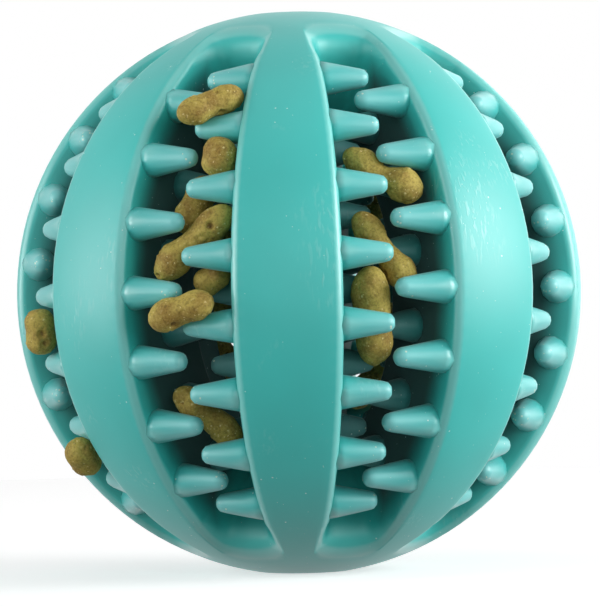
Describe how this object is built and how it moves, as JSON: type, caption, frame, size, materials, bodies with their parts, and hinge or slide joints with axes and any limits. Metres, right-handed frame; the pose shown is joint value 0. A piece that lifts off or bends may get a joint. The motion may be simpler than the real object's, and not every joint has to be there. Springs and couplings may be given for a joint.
{
  "type": "treat dispensing ball",
  "caption": "Hollow rubber toy ball with meridian ribs and slots, lined with rubber teeth that grip biscuit treats until play shakes them out.",
  "frame": {"origin": "the middle of the ball", "axes": "+Z through the poles, where the ribs meet; -Y through the middle of the front rib; +X to the right seen from the front"},
  "size_m": [0.07, 0.07, 0.069],
  "materials": {
    "rubber": "satin",
    "teeth": "satin",
    "treat": "matte"
  },
  "bodies": {
    "ball": {"top_cap": "rubber", "bottom_cap": "rubber", "front_rib": "rubber", "front_right_rib": "rubber", "right_rib": "rubber", "back_right_rib": "rubber", "back_rib": "rubber", "back_left_rib": "rubber", "left_rib": "rubber", "front_left_rib": "rubber", "front_rib_teeth": "teeth", "front_right_rib_teeth": "teeth", "right_rib_teeth": "teeth", "back_right_rib_teeth": "teeth", "back_rib_teeth": "teeth", "back_left_rib_teeth": "teeth", "left_rib_teeth": "teeth", "front_left_rib_teeth": "teeth"},
    "treat_1": {"treat_1": "treat"},
    "treat_2": {"treat_2": "treat"},
    "treat_3": {"treat_3": "treat"},
    "treat_4": {"treat_4": "treat"},
    "treat_5": {"treat_5": "treat"},
    "treat_6": {"treat_6": "treat"},
    "treat_7": {"treat_7": "treat"},
    "treat_8": {"treat_8": "treat"},
    "treat_9": {"treat_9": "treat"},
    "treat_10": {"treat_10": "treat"},
    "treat_11": {"treat_11": "treat"},
    "treat_12": {"treat_12": "treat"},
    "treat_13": {"treat_13": "treat"},
    "treat_14": {"treat_14": "treat"},
    "treat_15": {"treat_15": "treat"},
    "treat_16": {"treat_16": "treat"},
    "treat_17": {"treat_17": "treat"},
    "treat_18": {"treat_18": "treat"},
    "treat_19": {"treat_19": "treat"},
    "treat_20": {"treat_20": "treat"}
  },
  "joints": [
    {"name": "treat_1_slide", "type": "slide", "parent": "ball", "child": "treat_1", "axis": [-0.2544, -0.7374, 0.6257], "range_m": [0, 0.016], "deforming": ["front_left_rib_teeth", "front_rib_teeth"]},
    {"name": "treat_2_slide", "type": "slide", "parent": "ball", "child": "treat_2", "axis": [-0.242, -0.8422, 0.4817], "range_m": [0, 0.016], "deforming": ["front_left_rib_teeth", "front_rib_teeth"]},
    {"name": "treat_3_slide", "type": "slide", "parent": "ball", "child": "treat_3", "axis": [-0.5247, -0.7436, 0.4144], "range_m": [0, 0.016], "deforming": ["front_left_rib_teeth", "front_rib_teeth"]},
    {"name": "treat_4_slide", "type": "slide", "parent": "ball", "child": "treat_4", "axis": [-0.3577, -0.9153, 0.1849], "range_m": [0, 0.016], "deforming": ["front_left_rib_teeth", "front_rib_teeth"]},
    {"name": "treat_5_slide", "type": "slide", "parent": "ball", "child": "treat_5", "axis": [-0.2172, -0.9218, 0.3209], "range_m": [0, 0.016], "deforming": ["front_left_rib_teeth", "front_rib_teeth"]},
    {"name": "treat_6_slide", "type": "slide", "parent": "ball", "child": "treat_6", "axis": [-0.3539, -0.9332, -0.0628], "range_m": [0, 0.016], "deforming": ["front_left_rib_teeth", "front_rib_teeth"]},
    {"name": "treat_7_slide", "type": "slide", "parent": "ball", "child": "treat_7", "axis": [-0.3396, -0.7971, -0.4993], "range_m": [0, 0.016], "deforming": ["front_left_rib_teeth", "front_rib_teeth"]},
    {"name": "treat_8_slide", "type": "slide", "parent": "ball", "child": "treat_8", "axis": [0.3584, -0.8273, 0.4326], "range_m": [0, 0.016], "deforming": ["front_rib_teeth", "front_right_rib_teeth"]},
    {"name": "treat_9_slide", "type": "slide", "parent": "ball", "child": "treat_9", "axis": [0.3768, -0.9148, 0.1453], "range_m": [0, 0.016], "deforming": ["front_rib_teeth", "front_right_rib_teeth"]},
    {"name": "treat_10_slide", "type": "slide", "parent": "ball", "child": "treat_10", "axis": [0.326, -0.9389, -0.1104], "range_m": [0, 0.016], "deforming": ["front_rib_teeth", "front_right_rib_teeth"]},
    {"name": "treat_11_slide", "type": "slide", "parent": "ball", "child": "treat_11", "axis": [-0.8878, -0.4435, -0.1228], "range_m": [0, 0.016], "deforming": ["left_rib_teeth", "front_left_rib_teeth"]},
    {"name": "treat_12_slide", "type": "slide", "parent": "ball", "child": "treat_12", "axis": [-0.7413, -0.3778, -0.5548], "range_m": [0, 0.016], "deforming": ["left_rib_teeth", "front_left_rib_teeth"]},
    {"name": "treat_13_slide", "type": "slide", "parent": "ball", "child": "treat_13", "axis": [0.3076, 0.88, 0.3618], "range_m": [0, 0.016], "deforming": ["back_right_rib_teeth", "back_rib_teeth"]},
    {"name": "treat_14_slide", "type": "slide", "parent": "ball", "child": "treat_14", "axis": [0.3546, 0.935, 0], "range_m": [0, 0.016], "deforming": ["back_right_rib_teeth", "back_rib_teeth"]},
    {"name": "treat_15_slide", "type": "slide", "parent": "ball", "child": "treat_15", "axis": [0.2947, 0.8828, -0.3658], "range_m": [0, 0.016], "deforming": ["back_right_rib_teeth", "back_rib_teeth"]},
    {"name": "treat_16_slide", "type": "slide", "parent": "ball", "child": "treat_16", "axis": [-0.3223, 0.8764, 0.3578], "range_m": [0, 0.016], "deforming": ["back_rib_teeth", "back_left_rib_teeth"]},
    {"name": "treat_17_slide", "type": "slide", "parent": "ball", "child": "treat_17", "axis": [-0.3845, 0.9231, 0], "range_m": [0, 0.016], "deforming": ["back_rib_teeth", "back_left_rib_teeth"]},
    {"name": "treat_18_slide", "type": "slide", "parent": "ball", "child": "treat_18", "axis": [-0.3759, 0.8581, -0.3498], "range_m": [0, 0.016], "deforming": ["back_rib_teeth", "back_left_rib_teeth"]},
    {"name": "treat_19_slide", "type": "slide", "parent": "ball", "child": "treat_19", "axis": [0.9166, 0.3797, -0.1253], "range_m": [0, 0.016], "deforming": ["right_rib_teeth", "back_right_rib_teeth"]},
    {"name": "treat_20_slide", "type": "slide", "parent": "ball", "child": "treat_20", "axis": [-0.9075, 0.3759, 0.1874], "range_m": [0, 0.016], "deforming": ["back_left_rib_teeth", "left_rib_teeth"]}
  ]
}
